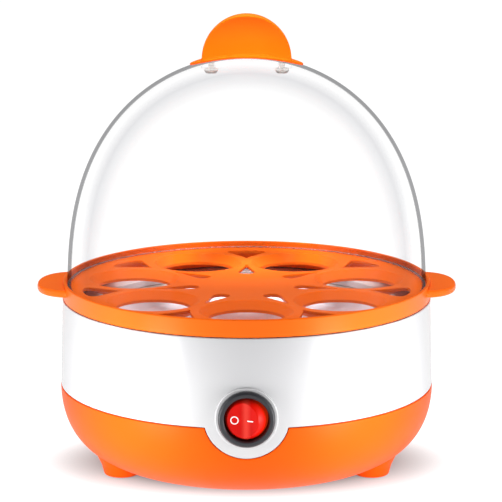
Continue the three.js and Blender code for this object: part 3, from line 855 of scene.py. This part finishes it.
def ear(side):
    """A D-shaped lifting ear with rounded rims and a rib under its root."""
    angles = np.linspace(-math.pi / 2, math.pi / 2, 61)
    reach = TRAY_HIGH[0] - EAR_ROOT
    outline = [
        (
            EAR_ROOT + reach * max(math.cos(a), 0) ** 0.8,
            EAR_HALF * math.copysign(abs(math.sin(a)) ** 0.9, math.sin(a)),
        )
        for a in angles
    ]
    leaf = slab("ear", outline, EAR_LOW, EAR_HIGH, edge=1.1)
    rib_outline = [(77.4, 74.9), (78.9, 74.9), (80.2, 75.6), (84, 77.6), (84, 78), (77.4, 78)]
    rib = placed(slab("rib", rib_outline, -1.3, 1.3, edge=0.3), turn=(math.pi / 2, 0, 0))
    joined(leaf, rib)
    cut(leaf, rod("rim_way", RIM_IN + 0.7, *THROUGH_WALL, sides=224))
    return placed(leaf, turn=(0, 0, 0 if side > 0 else math.pi))


def seat_place(piece, index):
    """Moves a piece from the origin to one of the seats in their ring."""
    angle = -math.pi / 2 + index * FULL_TURN / SEATS
    return placed(piece, SEAT_RING * math.cos(angle), SEAT_RING * math.sin(angle))


def seat_cup(index):
    """The cup of a seat that hangs under the tray's floor."""
    low = FLOOR_Z - SEAT_DROP - SEAT_WALL
    high = FLOOR_UNDER + 0.3
    corners = [
        (0, low, 0),
        (SEAT_HOLE + SEAT_WALL, low, 0.6),
        (SEAT_R + SEAT_WALL, high, 0),
        (0, high, 0),
    ]
    return seat_place(turned("cup", rounded(corners, False), 72, False), index)


def seat_mouth(index):
    """The cone of a seat with a rounded lip, and the steam hole under it."""
    corners = [
        (0, 60, 0),
        (SEAT_HOLE, 60, 0),
        (SEAT_HOLE, SEAT_FOOT_Z, 0.5),
        (SEAT_R, FLOOR_Z, SEAT_LIP),
        (SEAT_R + 6, FLOOR_Z, 0),
        (SEAT_R + 6, FLOOR_Z + 4, 0),
        (0, FLOOR_Z + 4, 0),
    ]
    return seat_place(turned("mouth", rounded(corners, False, 6), 96, False), index)


def egg_tray():
    """The orange tray with its ears, its seats and two rings of steam slots."""
    tray = joined(tray_body(), *[seat_cup(i) for i in range(SEATS)])
    joined(tray, ear(1), ear(-1))
    slots = []
    for i in range(SEATS):
        angle = -math.pi / 2 + (i + 0.5) * FULL_TURN / SEATS
        for tip, end, half in (OUTER_SLOT, INNER_SLOT):
            slot = slab("slot", teardrop(tip, end, half), FLOOR_UNDER, FLOOR_Z, flare=0.4)
            slots.append(placed(slot, turn=(0, 0, angle)))
    cut(tray, *[seat_mouth(i) for i in range(SEATS)], *slots)
    return finished(tray, "tray", TRAY_ORANGE, ["egg_tray"])


# ---- Lid ----
def dome_line(offset, foot_z, steps=72):
    """(r, z) of the dome from its foot to its top, moved out by offset."""
    radius = DOME_R + offset
    rise = DOME_RISE + offset
    start = math.asin(((foot_z - DOME_BASE) / rise) ** (DOME_POWERS[1] / 2))
    return [
        (
            radius * max(math.cos(t), 0) ** (2 / DOME_POWERS[0]),
            DOME_BASE + rise * math.sin(t) ** (2 / DOME_POWERS[1]),
        )
        for t in np.linspace(start, math.pi / 2, steps)
    ]


def lid_dome():
    """The clear dome with its vent, its screw holes and the seats under them."""
    outer = dome_line(0, DOME_FOOT + DOME_RIM)
    inner = dome_line(-DOME_WALL, DOME_FOOT + DOME_RIM)[::-1]
    foot_arc = [
        (
            outer[0][0] - DOME_WALL / 2 - DOME_WALL / 2 * math.cos(a),
            DOME_FOOT + DOME_RIM - DOME_RIM * math.sin(a),
        )
        for a in np.linspace(0, math.pi, 7)[1:-1]
    ]
    outer[-1] = (0, outer[-1][1])
    inner[0] = (0, inner[0][1])
    dome = turned("dome", [*outer, *inner, *foot_arc], DOME_SIDES)
    ways = [rod("way", SCREW_WAY_R, *THROUGH_TOP, x) for x in LID_SCREWS]
    ways.append(rod("steam_way", STEAM_HOLE_R, *THROUGH_TOP, 0, STEAM_HOLE_Y))
    bosses = [rod("seat", LID_SEAT_R, LID_SEAT, LID_SEAT_TOP, x, edge=0.3) for x in LID_SCREWS]
    for boss in bosses:
        combined(boss, "INTERSECT", dome_solid("wall", -DOME_WALL / 2))
    joined(dome, *bosses)
    cut(dome, *ways)
    finished(dome, "lid", None, ["lid_dome"], 40)
    dome.data.materials.clear()
    for material in (DOME_OUT, DOME_IN, DOME_EDGE):
        dome.data.materials.append(material)
    middle = Vector((0, 0, DOME_BASE * MM))
    for face in dome.data.polygons:
        face.material_index = 0 if face.normal.dot(face.center - middle) > 0 else 1
        if face.center.z < (DOME_FOOT + DOME_RIM) * MM:
            face.material_index = 2
    return dome


def dome_solid(name, offset):
    """The dome's top as a solid, its skin moved out by offset."""
    line = dome_line(offset, SOLID_FOOT)
    line[-1] = (0, line[-1][1])
    return turned(name, [(0, SOLID_FOOT), *line], DOME_SIDES, False)


def lid_handle():
    """Half-moon grip with hollowed faces on an oval foot that follows the dome."""
    centre = GRIP_HIGH[2] - GRIP_R
    outline = [(-GRIP_R, GRIP_DEEP), (GRIP_R, GRIP_DEEP)]
    for a in np.linspace(0, math.pi, 97):
        outline.append((GRIP_R * math.cos(a), centre + GRIP_R * math.sin(a)))
    moon = slab("moon", outline, -GRIP_THICK / 2, GRIP_THICK / 2, edge=0.8)
    placed(moon, turn=(math.pi / 2, 0, 0))
    hollows = []
    for side in (-1, 1):
        tool = rod("hollow", GRIP_HOLLOW, -40, 40, sides=256)
        y = side * (GRIP_WAIST / 2 + GRIP_HOLLOW)
        hollows.append(placed(tool, 0, y, centre + GRIP_R / 2, (0, math.pi / 2, 0)))
    cut(moon, *hollows)
    half_x, half_y = GRIP_FOOT
    oval = [
        (half_x * math.cos(a), half_y * math.sin(a))
        for a in np.linspace(0, FULL_TURN, 97)[:-1]
    ]
    base = combined(slab("foot", oval, *THROUGH_TOP), "INTERSECT", dome_solid("cap", GRIP_FOOT_T))
    joined(moon, base)
    pilots = [rod("pilot", GRIP_PILOT_R, 165, 184, x) for x in LID_SCREWS]
    cut(moon, dome_solid("under", GRIP_GAP), *pilots)
    softened(moon, 0.3, 5)
    return finished(moon, "lid", GRIP_ORANGE, ["lid_handle"], 60)


# ---- Switch ----
def switch_housing():
    """The switch's black cup with its bezel and the slots for its terminals."""
    face = -BEZEL_LOW[1]
    back = -BEZEL_HIGH[1]
    corners = [
        (0, back, 0),
        (BEZEL_BODY, back, 0.4),
        (BEZEL_BODY, -SEAT_Y - 1.6, 0),
        (BEZEL_R, -SEAT_Y - 1.6, 0),
        (BEZEL_R, face - 0.9, 0.3),
        (10.9, face, 0.5),
        (9.5, face, 0.35),
        (BEZEL_MOUTH, face - 0.5, 0.2),
        (BEZEL_MOUTH, back + 3, 0.3),
        (0, back + 3, 0),
    ]
    cup = facing_front(turned("bezel", rounded(corners, False), 144, False), z=SWITCH_Z)
    slots = []
    for i in range(1, 4):
        low, high = node_box(f"switch_terminal_{i}")
        slot = slab("slot", oblong(1.4, 5.4, 0.1), back - 2, back + 4)
        slots.append(facing_front(placed(slot, (low[0] + high[0]) / 2, -2, 0), z=SWITCH_Z))
    cut(cup, *slots)
    return finished(cup, "base", BLACK, ["switch_housing"], 30)


def switch_rocker():
    """A ball cut by two faces that meet in a crease, tilted with its left side pressed in."""
    edge = -ROCKER_CREASE - ROCKER_R * math.tan(ROCKER_RISE)
    outline = [
        (-ROCKER_R - 1, 2.5),
        (-ROCKER_R - 1, edge),
        (0, -ROCKER_CREASE),
        (ROCKER_R + 1, edge),
        (ROCKER_R + 1, 2.5),
    ]
    ball_line = [
        (ROCKER_R * math.sin(a), -ROCKER_R * math.cos(a)) for a in np.linspace(0, math.pi, 65)
    ]
    ball = turned("rocker", ball_line, 128, False)
    combined(ball, "INTERSECT", slab("faces", outline[::-1], -12, 12))
    placed(ball, turn=(0, 0, -ROCKER_TILT))
    joined(ball, rod("pin", 1.1, -9.5, 9.5))
    softened(ball, 0.16, 3)
    placed(ball, *ROCKER_PIVOT)
    return finished(ball, "rocker", RED, ["switch_rocker"], 60)


def rocker_mark(piece, x):
    """Lays a mark, made flat round the origin, on the rocker's face at x from its crease."""
    rise = math.copysign(ROCKER_RISE, x)
    placed(piece, turn=(math.pi / 2, 0, 0))
    placed(piece, turn=(0, 0, -rise))
    placed(piece, x * math.cos(ROCKER_RISE), -ROCKER_CREASE - abs(x) * math.sin(ROCKER_RISE))
    placed(piece, turn=(0, 0, -ROCKER_TILT))
    placed(piece, *ROCKER_PIVOT)
    return finished(piece, "rocker", MARK_WHITE)


def rocker_marks():
    """The ring for off and the bar for on."""
    inner, outer = MARK_RING
    ring = [
        (inner, MARK_LOW, 0),
        (outer, MARK_LOW, 0),
        (outer, MARK_HIGH, MARK_EDGE),
        (inner, MARK_HIGH, MARK_EDGE),
    ]
    rocker_mark(turned("mark_off", rounded(ring), 48), MARK_RING_X)
    bar = slab("mark_on", oblong(*MARK_BAR), MARK_LOW, MARK_HIGH, edge=MARK_EDGE)
    rocker_mark(bar, MARK_BAR_X)


# ---- Small parts ----
def screw(node, material, body, up=True):
    """Pan-head screw with a cross recess and thread ridges, filling its node's box."""
    low, high = node_box(node)
    head_r = (high[0] - low[0]) / 2
    length = high[2] - low[2]
    head = min(2.4, head_r * 0.7)
    corners = [
        (0, 0, 0),
        (head_r * 0.72, 0, 0.6),
        (head_r, head * 0.55, 0.5),
        (head_r, head, 0.1),
        (SCREW_SHANK, head, 0),
    ]
    outline = rounded(corners, False)
    root = SCREW_SHANK - THREAD_DEPTH
    z = head + 0.8
    while z < length - 1.6:
        outline.append((root, z))
        outline.append((root, z + 0.35 * THREAD_PITCH))
        outline.append((SCREW_SHANK, z + 0.6 * THREAD_PITCH))
        z += THREAD_PITCH
    outline += [(SCREW_SHANK - 0.3, length - 1.2), (0.4, length), (0, length)]
    piece = turned(node + "_fine", outline, 32, False)
    for turn in (0, math.pi / 2):
        cross = slab("cross", oblong(head_r * 1.1, 0.8, 0.2), -1, head * 0.55)
        cut(piece, placed(cross, turn=(0, 0, turn)))
    centre = (low + high) / 2
    if up:
        placed(piece, centre[0], centre[1], low[2])
    else:
        placed(piece, centre[0], centre[1], high[2], (math.pi, 0, 0))
    return finished(piece, body, material, [node], 30)


def foot_pads():
    """Four rubber pads, tapered at their lower rims."""
    for i, (low, high) in enumerate(PAD_BOXES, 1):
        node = f"foot_pad_{i}"
        x, y, _ = (low + high) / 2
        r = (high[0] - low[0]) / 2
        corners = [
            (0, low[2], 0),
            (r - 1.4, low[2], 0),
            (r, low[2] + 0.5, 0.3),
            (r, high[2], 0.2),
            (0, high[2], 0),
        ]
        pad = placed(turned(node + "_fine", rounded(corners, False), 48, False), x, y)
        finished(pad, "base", RUBBER, [node])


def cord_gland():
    """A rubber sleeve round the cord, with a groove that grips the bowl's wall."""
    start = GLAND_LOW[1]
    end = GLAND_HIGH[1]
    corners = [
        (3.25, start, 0.4),
        (6.4, start, 0.4),
        (6.4, start + 1.5, 0.3),
        (5.4, start + 1.5, 0),
        (5.4, GLAND_SEAT + 0.3, 0),
        (7.4, GLAND_SEAT + 0.3, 0.3),
        (7.4, GLAND_SEAT + 1.8, 0.6),
        (5.5, GLAND_SEAT + 2.3, 0.5),
        (5.0, end, 0.6),
        (3.25, end, 0.6),
    ]
    gland = facing_back(turned("gland", rounded(corners), 72), GLAND_Z)
    return finished(gland, "base", RUBBER, ["cord_gland"])


def heating_plate():
    """The pressed steel dish that holds the water, with a raised middle and a wide rim."""
    flange = PLATE_HIGH[2]
    floor = flange - DISH_DEEP
    corners = [
        (0, floor - 1, 0),
        (54.4, floor - 1, 3),
        (59, flange - 1, 2),
        (PLATE_R, flange - 1, 0.3),
        (PLATE_R, flange, 0.3),
        (58.6, flange, 3),
        (54, floor, 2),
        (20, floor, 6),
        (12, floor + 0.35, 6),
        (0, floor + 0.35, 0),
    ]
    plate = turned("dish", rounded(corners, False, 8), 192, False)
    joined(plate, rod("stud", STUD_R, PLATE_LOW[2], floor - 0.5, edge=0.3))
    return finished(plate, "base", DISH_STEEL, ["heating_plate"])


def carried_over():
    """Gives the CAD nodes that stay a finish of their own."""
    finishes = {
        "steel": STEEL,
        "dark_steel": DARK_STEEL,
        "brass": BRASS,
        "rubber": RUBBER,
        "silicone": SILICONE,
        "white_nylon": NYLON,
        "black_plastic": BLACK,
        "lamp_glass": LAMP,
        "wire_brown": BROWN_WIRE,
        "wire_blue": BLUE_WIRE,
        "white_plastic": WHITE,
        "orange_plastic": ORANGE,
    }
    for part in frame["record"]["subparts"]:
        material = finishes.get(part["material_slot"])
        node = bpy.data.objects.get(part["node"])
        if node is not None and material is not None:
            node.data.materials.clear()
            node.data.materials.append(material)


# ---- Stage, in metres ----
FLOOR_SIZE = 6.0
FLOOR_WHITE = (0.22, 0.22, 0.22, 1.0)
FLOOR_CLOUD = (0.20, 0.20, 0.205, 1.0)
GLOW = 1.02  # of the floor as a light table
FRONT_GLOW = 0.8  # share of it far in front of the object
FRONT_RAMP = (-0.50, -0.10)  # along Y, from the front's share to the full glow
PAINTED_SHADOW_GLOW = 0.12  # share of it right under the object, where the drop is a painted shadow
PAINTED_SHADOW_RAMP = (0.034, 0.057)  # outwards from the middle, from that share to the full glow: the painted shadow's soft edge
# Shortens the reach across X, so that the painted shadow spreads further to the sides.
PAINTED_SHADOW_OVAL = (0.62, 1.0, 1.0)
WORLD_GLOW = 0.1

# Softboxes: name, place, aim, size and radiance. Those at the side stand on both sides.
SIDE_LIGHTS = [
    ("strip", (0.091, -0.112, 0.035), (0, 0, 0.03), (0.04, 0.05), 15.0),
    ("front_side", (0.22, -0.14, 0.12), (0, -0.14, 0.12), (0.2, 0.22), 1.0),
    ("side", (0.2, 0.0, 0.12), (0, 0, 0.12), (0.16, 0.24), 0.4),
]
UPPER_LIGHTS = [
    ("top", (0, 0.05, 0.7), (0, 0, 0.1), (0.4, 0.4), 7.5),
    ("key", (0, -0.2, 0.5), (0, 0, 0.17), (0.25, 0.12), 1.2),
    ("dish_fill", (0, 0, 0.0742), (0, 0, 0), (0.12, 0.12), 0.3),
]
SPOT_PLACE = (0, -0.2, 0.5)
SPOT_AIM = (0, 0, 0.186)
SPOT_WATTS = 18.0

CAMERA_DISTANCE = 1.1
CAMERA_RISE = math.radians(12.65)
CAMERA_AIM = Vector((0, 0, 0.0785))
CAMERA_SHIFT = (0.0088, 0.068)
VIEW_WIDTH = 0.2163793  # across the picture at the distance of the aim
SENSOR_WIDTH = 36.0  # in millimetres, like the lens


def stage():
    """A white floor that glows like a light table, dimmer far in front, with a painted shadow where its
    glow drops under the object.
    """
    floor = bpy.data.meshes.new("floor")
    corners = [(x * FLOOR_SIZE, y * FLOOR_SIZE, 0) for x, y in ((-1, -1), (1, -1), (1, 1), (-1, 1))]
    floor.from_pydata(corners, [], [(0, 1, 2, 3)])
    ground = add_object("floor", floor)
    s = Shader("floor_white")
    s.set(Roughness=0.9, Specular_IOR_Level=0.1, Emission_Color=(1, 1, 1, 1))
    s.link(s.mixed(s.noise(3, 2), FLOOR_WHITE, FLOOR_CLOUD), s.main.inputs["Base Color"])
    axes = s.node("ShaderNodeSeparateXYZ")
    s.link(s.place, axes.inputs["Vector"])
    oval = s.node("ShaderNodeMapping", Scale=PAINTED_SHADOW_OVAL)
    s.link(s.place, oval.inputs["Vector"])
    reach = s.node("ShaderNodeVectorMath")
    reach.operation = "LENGTH"
    s.link(oval.outputs["Vector"], reach.inputs[0])
    # The glow drops under the object: a painted shadow.
    shade = s.ranged(reach.outputs["Value"], PAINTED_SHADOW_GLOW, 1.0, *PAINTED_SHADOW_RAMP)
    spread = s.ranged(axes.outputs["Y"], FRONT_GLOW * GLOW, GLOW, *FRONT_RAMP)
    s.link(s.product(shade, spread), s.main.inputs["Emission Strength"])
    ground.data.materials.append(s.material)


def aimed(lamp, place, aim):
    """Puts a light at its place and turns it towards a point."""
    lamp.location = place
    lamp.rotation_euler = (Vector(aim) - Vector(place)).to_track_quat("-Z", "Y").to_euler()


def softbox(name, place, aim, size, radiance, mirrored):
    """A rectangular light of a given radiance that the camera doesn't see."""
    data = bpy.data.lights.new(name, "AREA")
    data.shape = "RECTANGLE"
    data.size, data.size_y = size
    data.energy = radiance * math.pi * size[0] * size[1]
    lamp = add_object(name, data)
    aimed(lamp, place, aim)
    lamp.visible_camera = False
    lamp.visible_glossy = mirrored


def grip_light():
    """A narrow spot from the upper front that lifts the grip's lower face."""
    data = bpy.data.lights.new("grip_spot", "SPOT")
    data.energy = SPOT_WATTS
    data.spot_size = math.radians(12)
    data.spot_blend = 0.6
    data.shadow_soft_size = 0.03
    lamp = add_object("grip_spot", data)
    aimed(lamp, SPOT_PLACE, SPOT_AIM)
    lamp.visible_glossy = False


def lights():
    """A dim world, softboxes on both sides that the gloss shows, and others that it doesn't."""
    world = bpy.data.worlds.new("studio")
    bpy.context.scene.world = world
    world.use_nodes = True
    background = world.node_tree.nodes["Background"]
    background.inputs["Color"].default_value = (1, 1, 1, 1)
    background.inputs["Strength"].default_value = WORLD_GLOW
    for side in (-1, 1):
        for name, (x, y, z), aim, size, radiance in SIDE_LIGHTS:
            softbox(name, (side * x, y, z), aim, size, radiance, True)
    for name, place, aim, size, radiance in UPPER_LIGHTS:
        softbox(name, place, aim, size, radiance, False)
    grip_light()


def camera():
    """A long lens from the front, a little above the object."""
    data = bpy.data.cameras.new("camera")
    data.sensor_width = SENSOR_WIDTH
    data.lens = SENSOR_WIDTH * CAMERA_DISTANCE / VIEW_WIDTH
    data.clip_start = 0.05
    data.shift_x, data.shift_y = CAMERA_SHIFT
    view = add_object("camera", data)
    back = Vector((0, -math.cos(CAMERA_RISE), math.sin(CAMERA_RISE)))
    view.location = CAMERA_AIM + CAMERA_DISTANCE * back
    view.rotation_euler = (CAMERA_AIM - view.location).to_track_quat("-Z", "Y").to_euler()
    bpy.context.scene.camera = view


camera()
lights()
stage()
bpy.context.scene.view_settings.view_transform = "Standard"

base_shell()
body_band()
egg_tray()
lid_dome()
lid_handle()
switch_housing()
switch_rocker()
rocker_marks()
foot_pads()
cord_gland()
heating_plate()
for i in range(1, 5):
    screw(f"base_screw_{i}", STEEL, "base")
for i in range(1, 4):
    screw(f"plate_screw_{i}", STEEL, "base")
for i in range(1, 3):
    screw(f"clamp_screw_{i}", STEEL, "base", up=False)
    screw(f"lid_screw_{i}", NYLON, "lid")
carried_over()
